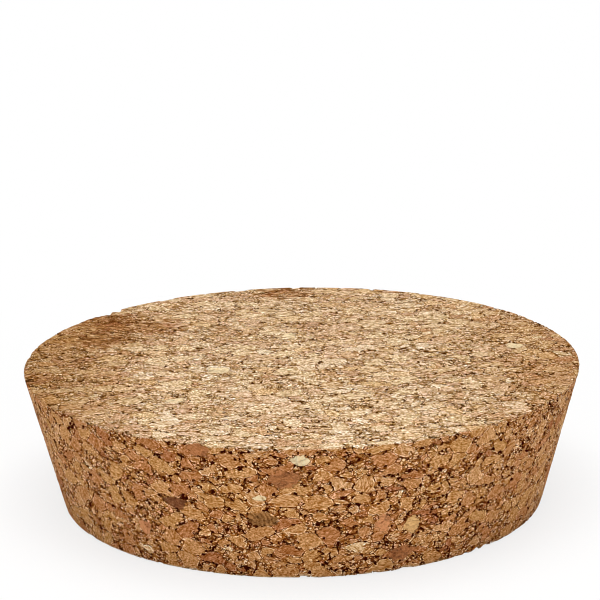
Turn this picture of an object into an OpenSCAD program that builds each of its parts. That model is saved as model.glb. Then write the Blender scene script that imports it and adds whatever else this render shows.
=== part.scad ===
// Tapered stopper of agglomerated cork, for a wide jar mouth.
// One solid: the narrow end stands on z = 0 and the axis is Z.

/* [Body] */
// Diameter across the wide end, at the sharp corner before easing
top_d = 100; // [60:1:150]
// Diameter across the narrow end, at the sharp corner before easing
bottom_d = 87; // [50:1:140]
// Height between the two flat faces
height = 25; // [15:1:60]

/* [Edges] */
// Radius that eases the rim of the wide end
top_edge_r = 0.4; // [0.2:0.1:3]
// Radius that eases the rim of the narrow end
bottom_edge_r = 0.4; // [0.2:0.1:3]

/* [Hidden] */
$fn = 96;
top_r = top_d / 2;
bottom_r = bottom_d / 2;
// Angle of the ground side above the horizontal
side_angle = atan2(height, top_r - bottom_r);
// Direction that the side faces, in the profile's plane
side_normal = side_angle - 90;

// Centre of the arc that eases the narrow end's corner
function bottom_arc_centre() = [bottom_r - bottom_edge_r * tan(side_angle / 2), bottom_edge_r];

// Centre of the arc that eases the wide end's corner
function top_arc_centre() = [top_r - top_edge_r / tan(side_angle / 2), height - top_edge_r];

// Point on a circle
function on_circle(centre, r, angle) = centre + r * [cos(angle), sin(angle)];

// Half section of the stopper: straight faces between the points where the arcs begin and end,
// and a full circle at each corner that the arc is part of
module half_section() {
    polygon([
        [0, 0],
        on_circle(bottom_arc_centre(), bottom_edge_r, -90),
        bottom_arc_centre(),
        on_circle(bottom_arc_centre(), bottom_edge_r, side_normal),
        on_circle(top_arc_centre(), top_edge_r, side_normal),
        top_arc_centre(),
        on_circle(top_arc_centre(), top_edge_r, 90),
        [0, height],
    ]);
    translate(bottom_arc_centre()) circle(bottom_edge_r);
    translate(top_arc_centre()) circle(top_edge_r);
}

module stopper() {
    color("burlywood") rotate_extrude() half_section();
}

stopper();
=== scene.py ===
import math
from types import SimpleNamespace

import bpy
from mathutils import Matrix, Vector


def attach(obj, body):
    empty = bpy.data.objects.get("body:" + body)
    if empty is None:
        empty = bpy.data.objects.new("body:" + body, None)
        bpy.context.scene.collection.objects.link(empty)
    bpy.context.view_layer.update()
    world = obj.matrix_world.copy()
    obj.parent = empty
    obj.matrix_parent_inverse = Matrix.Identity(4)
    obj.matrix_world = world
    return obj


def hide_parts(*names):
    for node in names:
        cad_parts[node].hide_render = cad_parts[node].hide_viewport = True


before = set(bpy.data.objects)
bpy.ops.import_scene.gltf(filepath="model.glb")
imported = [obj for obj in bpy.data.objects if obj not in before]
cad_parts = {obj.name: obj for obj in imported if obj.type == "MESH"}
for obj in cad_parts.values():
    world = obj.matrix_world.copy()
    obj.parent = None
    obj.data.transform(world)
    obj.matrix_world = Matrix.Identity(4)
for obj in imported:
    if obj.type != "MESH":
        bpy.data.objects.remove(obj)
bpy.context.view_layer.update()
scene = bpy.context.scene
scene.view_settings.view_transform = "Standard"
# A narrow pixel filter keeps the small granules crisp.
scene.cycles.filter_width = 1.0

# Camera: a long lens a little above the stopper, so that the wide end shows as a flat ellipse
# and the ground side shows in full. The stopper sits low in the frame.
camera_distance = 0.4253
camera_angle = math.radians(18.37)
camera_roll = math.radians(-0.88)
half_way_up = 0.0125
aim = Vector((-0.0001, 0, 0.0359))
eye = Vector((0, -math.cos(camera_angle), math.sin(camera_angle))) * camera_distance
eye.z += half_way_up
ahead = (aim - eye).normalized()
level_right = ahead.cross(Vector((0, 0, 1))).normalized()
level_up = level_right.cross(ahead)
right = level_right * math.cos(camera_roll) + level_up * math.sin(camera_roll)
up = level_up * math.cos(camera_roll) - level_right * math.sin(camera_roll)
turned = Matrix((right, up, -ahead)).transposed()
bpy.ops.object.select_all(action="DESELECT")
bpy.ops.object.camera_add(location=eye, rotation=turned.to_euler())
camera = bpy.context.object
camera.name = "camera"
camera.data.sensor_width = 36
camera.data.lens = 140.1
camera.data.clip_start = 0.01
scene.camera = camera

# Cork stopper: a low tapered plug for the mouth of a jar, made of cork granules pressed into a block
# with a binder. Both ends are sawn flat, which leaves them pale, and a painted sheen makes them paler
# still; the side is ground to its taper, which leaves it darker. Crumbs have broken away from the rims,
# and pits are open between some granules.
top_r = 0.050
bottom_r = 0.0435
height = 0.025
edge_r = 0.0004
around = 1200
rows = 97
most_triangles = 190000
millimetres = 1000.0


def pick(piece, kind, wanted):
    """Selects the edges or faces of a mesh piece that are wanted, and leaves it in edit mode."""
    bpy.ops.object.mode_set(mode="EDIT")
    bpy.ops.mesh.select_mode(type=kind)
    bpy.ops.mesh.select_all(action="DESELECT")
    bpy.ops.object.mode_set(mode="OBJECT")
    for part in piece.data.edges if kind == "EDGE" else piece.data.polygons:
        places = [piece.data.vertices[index].co for index in part.vertices]
        part.select = wanted(places)
    bpy.ops.object.mode_set(mode="EDIT")


def level(places, z):
    """True where all these points lie at one height."""
    return all(abs(place.z - z) < 1e-6 for place in places)


# The ground blank: a cone with its sharp rims eased, its side cut into rows
# and its ends filled with a fine net.
bpy.ops.object.select_all(action="DESELECT")
bpy.ops.mesh.primitive_cone_add(
    vertices=around,
    radius1=bottom_r,
    radius2=top_r,
    depth=height,
    end_fill_type="NGON",
    location=(0, 0, height / 2),
)
stopper = bpy.context.object
stopper.name = "cork_stopper"
bpy.ops.object.transform_apply(location=True)
pick(stopper, "EDGE", lambda places: level(places, 0) or level(places, height))
bpy.ops.mesh.bevel(offset=edge_r, segments=3, profile=0.5, affect="EDGES")
bpy.ops.object.mode_set(mode="OBJECT")
pick(stopper, "EDGE", lambda places: abs(places[0].z - places[1].z) > height / 2)
bpy.ops.mesh.subdivide(number_cuts=rows)
bpy.ops.object.mode_set(mode="OBJECT")
for end_z in (height, 0):
    pick(stopper, "FACE", lambda places: len(places) > 4 and level(places, end_z))
    bpy.ops.mesh.delete(type="ONLY_FACE")
    bpy.ops.object.mode_set(mode="OBJECT")
    pick(stopper, "EDGE", lambda places: level(places, end_z))
    bpy.ops.mesh.fill_grid(span=around // 4)
    bpy.ops.object.mode_set(mode="OBJECT")


class Wire:
    """A socket in a node tree. Arithmetic on it adds Math nodes."""

    def __init__(self, tree, socket=None):
        self.tree = tree
        self.socket = socket

    def node(self, kind, settings, sockets, output=0):
        """Adds a node with its settings, then the values or wires of its sockets, and gives one output."""
        added = self.tree.nodes.new(kind)
        for name, value in settings.items():
            if name == "stops":
                for stop in value[2:]:
                    added.color_ramp.elements.new(stop[0])
                for element, (position, colour) in zip(added.color_ramp.elements, value):
                    element.position = position
                    element.color = (*colour, 1)
            else:
                setattr(added, name, value)
        for name, value in sockets.items():
            if isinstance(value, Wire):
                self.tree.links.new(value.socket, added.inputs[name])
            else:
                added.inputs[name].default_value = value
        return Wire(self.tree, added.outputs[output] if added.outputs else None)

    def math(self, operation, first, second=0.0):
        return self.node("ShaderNodeMath", {"operation": operation}, {0: first, 1: second})

    def __add__(self, other):
        return self.math("ADD", self, other)

    def __radd__(self, other):
        return self.math("ADD", other, self)

    def __sub__(self, other):
        return self.math("SUBTRACT", self, other)

    def __rsub__(self, other):
        return self.math("SUBTRACT", other, self)

    def __mul__(self, other):
        return self.math("MULTIPLY", self, other)

    def __rmul__(self, other):
        return self.math("MULTIPLY", other, self)

    def __gt__(self, other):
        return self.math("GREATER_THAN", self, other)

    def __lt__(self, other):
        return self.math("LESS_THAN", self, other)

    def __abs__(self):
        return self.math("ABSOLUTE", self)


def ease(value, low, high):
    """0 below low, 1 above high, smooth between them. The other way round where low is the larger."""
    sockets = {"Value": value, "From Min": low, "From Max": high}
    return value.node("ShaderNodeMapRange", {"interpolation_type": "SMOOTHSTEP"}, sockets)


def smaller(first, second):
    return first.math("MINIMUM", first, second)


def larger(first, second):
    return first.math("MAXIMUM", first, second)


def choose(share, first, second):
    """The first value where share is 0 and the second where it is 1."""
    return first + (second - first) * share


def mixed(share, first, second):
    """Two colours or vectors mixed by a share."""
    settings = {"data_type": "RGBA", "blend_type": "MIX"}
    return share.node("ShaderNodeMix", settings, {0: share, 6: first, 7: second}, 2)


def vector(operation, first, second=(0.0, 0.0, 0.0), output="Vector"):
    return first.node("ShaderNodeVectorMath", {"operation": operation}, {0: first, 1: second}, output)


def scaled(place, factor):
    return place.node("ShaderNodeVectorMath", {"operation": "SCALE"}, {0: place, 3: factor})


def parts(wire):
    """The three numbers of a vector or colour."""
    first = wire.node("ShaderNodeSeparateXYZ", {}, {0: wire})
    return [Wire(wire.tree, output) for output in first.socket.node.outputs]


def noise(place, size, detail=2.0, roughness=0.5, output="Fac"):
    """Cloudy noise whose blotches are about this many millimetres across."""
    sockets = {"Vector": place, "Scale": 1 / size, "Detail": detail, "Roughness": roughness}
    return place.node("ShaderNodeTexNoise", {}, sockets, output)


def bent(place, size, reach, detail=1.0):
    """Moves a place by up to reach millimetres, so that straight edges wander."""
    push = vector("SUBTRACT", noise(place, size, detail, 0.5, "Color"), (0.5, 0.5, 0.5))
    return vector("ADD", place, scaled(push, reach * 2))


def cells(place, size):
    """Packed grains about this many millimetres across.

    Gives three random numbers for each grain, and the way to its edge in millimetres.
    """
    sockets = {"Vector": place, "Scale": 1 / size}
    dice = place.node("ShaderNodeTexVoronoi", {"feature": "F1"}, sockets, "Color")
    edge = place.node("ShaderNodeTexVoronoi", {"feature": "DISTANCE_TO_EDGE"}, sockets, "Distance")
    return dice, edge * size


def granules(place):
    """How the granules are packed at a place in millimetres. The relief and the colour both follow this.

    Chips of two sizes lie among crumbs, all a little flattened by the press. Each granule has three
    random numbers, dice. edge is the way to the nearest seam, and hollow is above 0 where a gap between
    granules is open.
    """
    crumb_size = 0.65
    chip_sizes_and_shares = ((1.9, 0.80), (3.4, 0.60))
    widest_gap = 0.26
    pressed = vector("MULTIPLY", place, (0.85, 1.1, 1.3))
    rough = bent(pressed, 0.5, 0.06, 2.0)
    wandering = bent(rough, 5.0, 0.9)
    crumb_room = ease(noise(rough, 1.6, 1.0), 0.43, 0.68) * 0.50
    dice, edge = cells(wandering, crumb_size)
    crumb = 1
    for chip_size, share in chip_sizes_and_shares:
        chip_dice, chip_edge = cells(wandering, chip_size)
        kept = parts(chip_dice)[0] < share
        reach = chip_edge - crumb_room * kept
        is_chip = kept * (reach > 0)
        dice = mixed(is_chip, dice, chip_dice)
        edge = choose(is_chip, smaller(edge, abs(reach)), abs(reach))
        crumb = (1 - is_chip) * crumb
    looseness = noise(place, 0.85, 2.0, 0.6) + crumb_room * 0.10
    half_height = height * millimetres / 2
    end_face = ease(abs(parts(place)[2] - half_height), half_height - 0.6, half_height - 0.1)
    opening = (widest_gap - crumb * 0.05) * (1 - end_face * 0.30)
    hollow = ease(looseness, 0.50, 0.80) * opening - edge
    return SimpleNamespace(
        dice=dice,
        edge=edge,
        hollow=hollow,
        crumb=crumb,
        looseness=looseness,
        rough=rough,
        wandering=wandering,
    )


def way_to_rim(place, rim_r, rim_z):
    """How far a place is from a rim, in millimetres. The rim's radius and height are in metres."""
    x, y, z = parts(place)
    across = place.math("SQRT", x * x + y * y) - rim_r * millimetres
    along = z - rim_z * millimetres
    return place.math("SQRT", across * across + along * along)


# The relief: gaps sink in, each granule stands at its own height, and bites are missing from the rims.
# The ground place of every point is kept, because the colour follows the pattern as it was before
# the gaps sank.
bite_depth = 0.0007
pit_depth = 0.36
step_between_granules = 0.08
least_depth = 0.05
bpy.ops.object.select_all(action="DESELECT")
stopper.select_set(True)
bpy.context.view_layer.objects.active = stopper
relief = bpy.data.node_groups.new("cork_relief", "GeometryNodeTree")
relief.interface.new_socket("Geometry", in_out="INPUT", socket_type="NodeSocketGeometry")
relief.interface.new_socket("Geometry", in_out="OUTPUT", socket_type="NodeSocketGeometry")
relief_nodes = Wire(relief)
blank = relief_nodes.node("NodeGroupInput", {}, {})
ground = relief_nodes.node("GeometryNodeInputPosition", {}, {})
outward = relief_nodes.node("GeometryNodeInputNormal", {}, {})
marked = relief_nodes.node(
    "GeometryNodeStoreNamedAttribute",
    {"data_type": "FLOAT_VECTOR", "domain": "POINT"},
    {"Geometry": blank, "Name": "ground_place", "Value": ground},
)
place = scaled(ground, millimetres)
packing = granules(place)
lot_y, lot_z = parts(packing.dice)[1:]
crumbling = ease(lot_z, 0.55, 1.0) * ease(noise(place, 4.0, 2.0), 0.40, 0.65)
top_bite = crumbling * ease(way_to_rim(place, top_r, height), 1.9, 0.1) * 0.9
base_bite = crumbling * ease(way_to_rim(place, bottom_r, 0), 1.4, 0.1) * 0.5
inward = vector("NORMALIZE", vector("MULTIPLY", ground, (-1.0, -1.0, 0.0)))
bitten = vector(
    "ADD",
    scaled(vector("ADD", inward, (0.0, 0.0, -1.0)), top_bite * bite_depth),
    scaled(vector("ADD", inward, (0.0, 0.0, 1.0)), base_bite * bite_depth),
)
sunk_gap = ease(packing.hollow, -0.02, 0.12) * pit_depth
depth = sunk_gap + lot_y * step_between_granules + least_depth
offset = vector("ADD", scaled(outward, depth * (-1 / millimetres)), bitten)
moved = relief_nodes.node("GeometryNodeSetPosition", {}, {"Geometry": marked, "Offset": offset})
relief_nodes.node("NodeGroupOutput", {}, {0: moved})
worn = stopper.modifiers.new("relief", "NODES")
worn.node_group = relief
bpy.ops.object.modifier_apply(modifier=worn.name)
thinned = stopper.modifiers.new("thinned", "DECIMATE")
all_triangles = sum(len(face.vertices) - 2 for face in stopper.data.polygons)
thinned.ratio = min(1, most_triangles / all_triangles)
bpy.ops.object.modifier_apply(modifier=thinned.name)
bpy.ops.object.shade_smooth_by_angle(angle=math.radians(40))

# The map for baking: both ends lie flat on a square sheet, the hidden one smaller, and the side is
# unrolled into two strips above them, one for each half of the way round.
sheet = 0.163
strip_gap = 0.002
strip_start = 0.003
base_scale = 0.70
base_x = 0.132
base_y = 0.031
flat_within = 1e-5
ground_places = [item.vector for item in stopper.data.attributes["ground_place"].data]
bake_map = stopper.data.uv_layers.new(name="OFBake")
for face in stopper.data.polygons:
    corners = [ground_places[index] for index in face.vertices]
    middle = sum(corners, Vector()) / len(corners)
    half = 1 if middle.y > 0 else -1
    for loop, corner in zip(face.loop_indices, corners):
        if middle.z > height - flat_within:
            spot = (corner.x + top_r, corner.y + top_r)
        elif middle.z < flat_within:
            spot = (corner.x * base_scale + base_x, corner.y * base_scale + base_y)
        else:
            turn = math.atan2(corner.y * half, corner.x)
            turn += math.tau if turn < -math.pi / 2 else 0
            strip = 2 * top_r + strip_gap + (height + strip_gap if half > 0 else 0)
            spot = (turn * top_r + strip_start, corner.z + strip)
        bake_map.data[loop].uv = (spot[0] / sheet, spot[1] / sheet)

# The colour: each granule has its own brown, with grain, specks and rings in it, and painted highlights on
# its edges beside some seams. The grain of a granule is drawn out along its own direction, lean.
browns = [
    (0.0, (0.41, 0.146, 0.052)),
    (0.06, (0.46, 0.182, 0.062)),
    (0.14, (0.52, 0.216, 0.079)),
    (0.30, (0.535, 0.240, 0.088)),
    (0.45, (0.565, 0.270, 0.095)),
    (0.60, (0.575, 0.286, 0.099)),
    (0.78, (0.60, 0.295, 0.111)),
    (0.985, (0.63, 0.331, 0.141)),
    (1.0, (0.76, 0.490, 0.245)),
]
grain_size = 0.26
speck_size = 0.34
patch_size = 1.3
cork = bpy.data.materials.new("cork")
cork.use_nodes = True
cork.node_tree.nodes.clear()
cork_nodes = Wire(cork.node_tree)
ground = cork_nodes.node("ShaderNodeAttribute", {"attribute_name": "ground_place"}, {}, "Vector")
place = scaled(ground, millimetres)
packing = granules(place)
dice = packing.dice
edge = packing.edge
hollow = packing.hollow
crumb = packing.crumb
rough = packing.rough
wandering = packing.wandering
lot_x, lot_y, lot_z = parts(dice)
x, y, z = parts(place)
colour = cork_nodes.node("ShaderNodeValToRGB", {"stops": browns}, {0: lot_z})
lean = vector("NORMALIZE", vector("SUBTRACT", dice, (0.5, 0.5, 0.5)))
along = vector("DOT_PRODUCT", lean, wandering, "Value")
drawn = vector("SUBTRACT", wandering, scaled(lean, along * 0.65))
grain = noise(drawn, grain_size, 2.0, 0.65)
speck = parts(cells(drawn, speck_size)[0])[0]
patch = noise(wandering, patch_size)
rings = cork_nodes.math("SINE", along * 14.0) * ease(lot_y, 0.5, 0.9) * (1 - crumb)
# Painted highlight: granule edges beside some seams are lightened.
edge_highlight = ease(edge, 0.05, 0.09) * ease(edge, 0.24, 0.14) * ease(noise(rough, 0.55, 1.0), 0.47, 0.57)
fleck = ease(grain, 0.42, 0.28)

# The sawn ends: paler than the side, darker towards left and right by painted shade, and smoother and a
# little lighter towards the front.
# Dark nicks along x are painted shade of small pits, light fibres along x are painted highlights, and a
# ragged border lies between the end and the side.
top_z = height * millimetres
border_start = 0.45
border_end = 0.15
border_z = z + (grain - 0.5) + (lot_x - 0.5) * 0.35
sawn_top = ease(border_z, top_z - border_start, top_z - border_end)
sawn_base = ease(border_z, border_start, border_end)
sawn = larger(sawn_top, sawn_base)
# Painted shade and painted highlights: dark strokes along x stand for the shade in small pits, light ones
# for light caught by raised fibres.
strokes_along_x = noise(vector("MULTIPLY", rough, (0.5, 1.0, 1.0)), 0.42, 2.0, 0.6)
shaded_nick = ease(strokes_along_x, 0.42, 0.35) * sawn
fibre_highlight = ease(strokes_along_x, 0.56, 0.64) * sawn
# Painted shade: the sawn ends are darkened towards left and right, more on the left, where less light
# falls.
painted_side_shade = ease(abs(x), 22.0, 48.0) * 0.30 + ease(x, -24.0, -48.0) * 0.30
smoother = ease(y, -12.0, -40.0)

# Tone counts doublings of the light, up or down from the granule's own brown.
grain_weight = 4.1 + crumb * 0.9 + sawn * 0.4
edge_highlight_weight = 1.4 - sawn * 0.7
fleck_weight = 0.5 - sawn * 0.2
shaded_nick_weight = 2.0 + painted_side_shade * 0.8 - smoother * 0.9
lightest_tone = 1.2 - sawn * 0.42
tone = (grain - 0.5) * grain_weight + (patch - 0.5) * 0.2 + (speck - 0.5) * 0.45
tone = tone + (lot_x - 0.42) * crumb * 0.55 + rings * 0.20 + edge_highlight * edge_highlight_weight
tone = tone - fleck * fleck_weight - shaded_nick * shaded_nick_weight
tone = tone + (fibre_highlight * 0.4 + smoother * 0.08 - painted_side_shade - 0.15) * sawn
tone = smaller(tone, lightest_tone)


def from_blot(place, centre, half):
    """How far a place is from a blot's middle, as a share of the blot's half sizes."""
    return vector("LENGTH", vector("DIVIDE", vector("SUBTRACT", place, centre), half), output="Value")


# Stains on the wide end, where darker bark lies in the cork.
stain_wander = (noise(vector("MULTIPLY", wandering, (0.7, 1.1, 1.0)), 1.3, 3.0, 0.65) - 0.5) * 4.4
clean = 1
for centre, half in (
    ((-34.5, 24.0, 25.0), (7.0, 8.0, 9.0)),
    ((-36.5, 14.0, 25.0), (6.0, 5.0, 9.0)),
    ((-28.5, 23.0, 25.0), (6.0, 6.0, 9.0)),
    ((-3.0, 45.5, 25.0), (6.0, 5.0, 9.0)),
):
    clean = smaller(ease(from_blot(place, centre, half) + stain_wander, 0.5, 1.3), clean)
stain = 1 - clean
bark_fleck = ease(noise(vector("MULTIPLY", rough, (0.6, 1.0, 1.0)), 0.9, 2.0, 0.6), 0.50, 0.60)
tone = tone - stain * (shaded_nick * 0.6 + bark_fleck * 1.2)

# The sawn ends' colours: a beige, partly the pale cut and partly painted sheen, that comes and goes in
# clouds, browner chips, and no part paler than dry cork is.
stain_tint = (0.72, 0.58, 0.46)
sawn_and_sheen_tint = (1.34, 1.96, 3.25)
sawn_and_sheen_beige = (0.67, 0.490, 0.300, 1)
brown_tint = (0.93, 0.83, 0.68)
palest = (0.84, 0.640, 0.430)
cloud = noise(place, 9.0, 3.0, 0.6)
# The beige also fades towards left and right, as part of that painted shade.
pale = sawn * (1 - ease(abs(x), 18.0, 50.0) * 0.40 + (cloud - 0.5) * 1.2) * (1 - stain * 0.6)
colour = mixed(stain * 0.7, colour, vector("MULTIPLY", colour, stain_tint))
# Painted sheen together with the pale cut: the sawn ends are tinted paler and greyer, and mixed towards
# beige.
colour = mixed(pale, colour, vector("MULTIPLY", colour, sawn_and_sheen_tint))
colour = mixed(pale * 0.42, colour, sawn_and_sheen_beige)
brown_chip = ease(lot_y, 0.76, 0.92) * (1 - crumb) * sawn
colour = mixed(brown_chip * 0.8, colour, vector("MULTIPLY", colour, brown_tint))
colour = vector("MINIMUM", colour, palest)

# Light parts of cork are greyer and dark parts are redder, so green and blue follow the tone
# more than red does.
lifted = larger(tone, 0.0) * (0.85 + sawn * 0.15)
sunk = smaller(tone, 0.0)
red = cork_nodes.math("POWER", 2.0, lifted + sunk)
green = cork_nodes.math("POWER", 2.0, lifted * (1.52 - sawn * 0.20) + sunk * (1.68 - sawn * 0.28))
blue = cork_nodes.math("POWER", 2.0, lifted * (2.25 - sawn * 0.40) + sunk * (3.4 - sawn * 1.1))
toned = cork_nodes.node("ShaderNodeCombineXYZ", {}, {0: red, 1: green, 2: blue})
colour = vector("MULTIPLY", colour, toned)

# Seams, gaps and pits: cork browns beside some seams, dark binder outlines the seams in places, and
# painted shade browns the rims of open gaps and makes the gaps and pits darkest. All are redder on the
# ground side than on the sawn ends.
side_browning = (0.80, 0.60, 0.30, 1)
end_browning = (0.87, 0.72, 0.46, 1)
browning_and_rim_shade = ease(edge, 0.17 + sawn * 0.07, 0.03) * ease(noise(rough, 1.4, 1.0), 0.30, 0.55) * (1 - edge_highlight)
# Painted shade: the rims of open gaps are browned.
browning_and_rim_shade = larger(browning_and_rim_shade, ease(hollow, -0.10, -0.01))
browned = vector("MULTIPLY", colour, mixed(sawn, side_browning, end_browning))
colour = mixed(browning_and_rim_shade, colour, browned)
bound = ease(noise(rough, 1.1, 1.0) + crumb * 0.03, 0.47, 0.58)
seam = ease(edge, 0.11 + sawn * 0.04, 0.02) * bound * (1 - sawn * 0.4)
# Painted shade: open gaps and pits are coloured dark, darkest in the pits.
gap = ease(hollow, -0.03, 0.04)
pit = ease(hollow, 0.0, 0.05)
for share, side_colour, end_colour in (
    (seam * 0.90, (0.135, 0.022, 0.0002, 1), (0.15, 0.048, 0.001, 1)),
    (gap, (0.125, 0.016, 0.0002, 1), (0.15, 0.046, 0.001, 1)),
    (pit, (0.052, 0.004, 0.0001, 1), (0.06, 0.014, 0.001, 1)),
):
    colour = mixed(share, colour, mixed(sawn, side_colour, end_colour))

# Chips that stand out: cream ones of the soft inner cork, tan, pink, dusky and ruddy ones, and a striped
# one of outer bark. Each has a ragged edge, with a dark outline in places.
chip_outline = (0.100, 0.030, 0.005, 1)
chip_wander = (noise(rough, 1.3, 3.0) - 0.5) * 1.6
stripes = cork_nodes.math("SINE", x * 8.0 + z * 4.0 + (noise(place, 1.2, 1.0) - 0.5) * 14.0)
striped = ease(stripes + (grain - 0.5) * 5.0, -1.2, 1.2)
light_grain = ease(grain, 0.3, 0.7)
cream = mixed(light_grain, (0.78, 0.54, 0.28, 1), (1.0, 0.84, 0.55, 1))
bright_cream = mixed(light_grain, (0.95, 0.70, 0.38, 1), (1.0, 0.86, 0.57, 1))
tan = mixed(light_grain, (0.78, 0.430, 0.160, 1), (0.98, 0.620, 0.270, 1))
pink = mixed(light_grain, (0.60, 0.250, 0.100, 1), (0.80, 0.360, 0.160, 1))
dusky = mixed(light_grain, (0.16, 0.050, 0.018, 1), (0.30, 0.110, 0.045, 1))
ruddy = mixed(light_grain, (0.36, 0.130, 0.043, 1), (0.60, 0.245, 0.095, 1))
bark = mixed(striped, (0.210, 0.085, 0.022, 1), (0.460, 0.220, 0.075, 1))
for centre, half, shade in (
    ((-14.9, -6.5, 25.0), (1.8, 1.6, 0.8), cream),
    ((38.8, 6.3, 25.0), (1.6, 1.5, 0.8), cream),
    ((-2.1, 15.1, 25.0), (1.2, 1.5, 0.8), cream),
    ((-21.7, -23.6, 25.0), (1.4, 1.2, 0.8), cream),
    ((-0.6, -49.4, 22.7), (1.4, 1.2, 0.95), bright_cream),
    ((-7.0, -47.0, 15.5), (1.25, 1.2, 0.45), bright_cream),
    ((17.8, -42.1, 8.7), (1.4, 1.2, 1.8), tan),
    ((13.1, -44.1, 9.9), (1.2, 1.2, 1.5), pink),
    ((-26.6, -36.7, 7.0), (1.5, 1.5, 1.2), pink),
    ((-21.2, -41.9, 13.1), (2.0, 1.6, 1.0), dusky),
    ((-6.9, -46.1, 11.5), (2.4, 1.6, 1.2), bark),
    ((-3.0, -48.4, 19.1), (2.6, 1.6, 1.5), ruddy),
    ((-17.0, -46.8, 23.8), (1.9, 1.6, 1.1), ruddy),
    ((16.0, -41.3, 3.6), (2.2, 1.6, 1.3), ruddy),
):
    reach = from_blot(place, centre, half) + chip_wander
    outline = ease(reach, 1.16, 1.08) * ease(packing.looseness, 0.42, 0.54) * 0.7
    colour = mixed(outline, colour, chip_outline)
    colour = mixed(ease(reach, 1.06, 1.0) * (0.94 - shaded_nick * 0.5), colour, shade)

# The feel: dry and matt, with every granule a little rounded and its grain just raised.
feel = ease(edge, 0.0, 0.2) * 0.06 - gap * 0.25 + grain * 0.09
sockets = {
    "Base Color": colour,
    "Roughness": 0.92 - ease(grain, 0.2, 0.8) * 0.16,
    "Specular IOR Level": 0.03,
    "Normal": cork_nodes.node("ShaderNodeBump", {}, {"Strength": 1.0, "Distance": 0.0007, "Height": feel}),
}
skin = cork_nodes.node("ShaderNodeBsdfPrincipled", {}, sockets)
cork_nodes.node("ShaderNodeOutputMaterial", {}, {"Surface": skin})
stopper.data.materials.clear()
stopper.data.materials.append(cork)
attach(stopper, "root")
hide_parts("stopper")

# Floor: a wide sheet of white paper under the stopper. Near the stopper it keeps the soft shadow,
# and further out it runs into plain white.
bpy.ops.object.select_all(action="DESELECT")
bpy.ops.mesh.primitive_plane_add(size=6)
floor = bpy.context.object
floor.name = "floor"


def looked_at(nodes):
    """1 where something is looked at, straight, in a mirror or through glass.

    It is 0 where that thing only lights other things.
    """
    path = nodes.node("ShaderNodeLightPath", {}, {}).socket.node.outputs
    names = ("Is Camera Ray", "Is Glossy Ray", "Is Transmission Ray")
    straight, mirrored, through = [Wire(nodes.tree, path[name]) for name in names]
    return larger(larger(straight, mirrored), through)


shadow_start = 0.05
shadow_end = 0.14
white_in_shadow = 0.78
paper = bpy.data.materials.new("white_paper")
paper.use_nodes = True
paper.node_tree.nodes.clear()
paper_nodes = Wire(paper.node_tree)
matt = paper_nodes.node("ShaderNodeBsdfDiffuse", {}, {"Color": (0.93, 0.93, 0.93, 1)})
glow = paper_nodes.node("ShaderNodeEmission", {}, {"Color": (1, 1, 1, 1), "Strength": 1.0})
away = vector("LENGTH", paper_nodes.node("ShaderNodeTexCoord", {}, {}, "Object"), output="Value")
whiteness = white_in_shadow + ease(away, shadow_start, shadow_end) * (1 - white_in_shadow)
whitened = looked_at(paper_nodes) * whiteness
shown = paper_nodes.node("ShaderNodeMixShader", {}, {0: whitened, 1: matt, 2: glow})
paper_nodes.node("ShaderNodeOutputMaterial", {}, {"Surface": shown})
floor.data.materials.append(paper)

# Light: a pale room that looks white, one soft box over the stopper and one in front of it.
# Together they light a flat face about as brightly as its colour is written.
room = bpy.data.worlds.new("pale_room")
scene.world = room
room.use_nodes = True
room.node_tree.nodes.clear()
room_nodes = Wire(room.node_tree)
dim = room_nodes.node("ShaderNodeBackground", {}, {"Color": (1, 1, 1, 1), "Strength": 0.34})
white = room_nodes.node("ShaderNodeBackground", {}, {"Color": (1, 1, 1, 1), "Strength": 1.0})
shown = room_nodes.node("ShaderNodeMixShader", {}, {0: looked_at(room_nodes), 1: dim, 2: white})
room_nodes.node("ShaderNodeOutputWorld", {}, {"Surface": shown})
for name, spot, tilt, width, watts in (
    ("top_softbox", (0.0, -0.10, 0.8), -7, 0.6, 5.5),
    ("front_softbox", (0.0, -1.0, 0.25), 76, 0.9, 2.0),
):
    bpy.ops.object.light_add(type="AREA", location=spot, rotation=(math.radians(tilt), 0, 0))
    softbox = bpy.context.object
    softbox.name = name
    softbox.data.shape = "SQUARE"
    softbox.data.size = width
    softbox.data.energy = watts
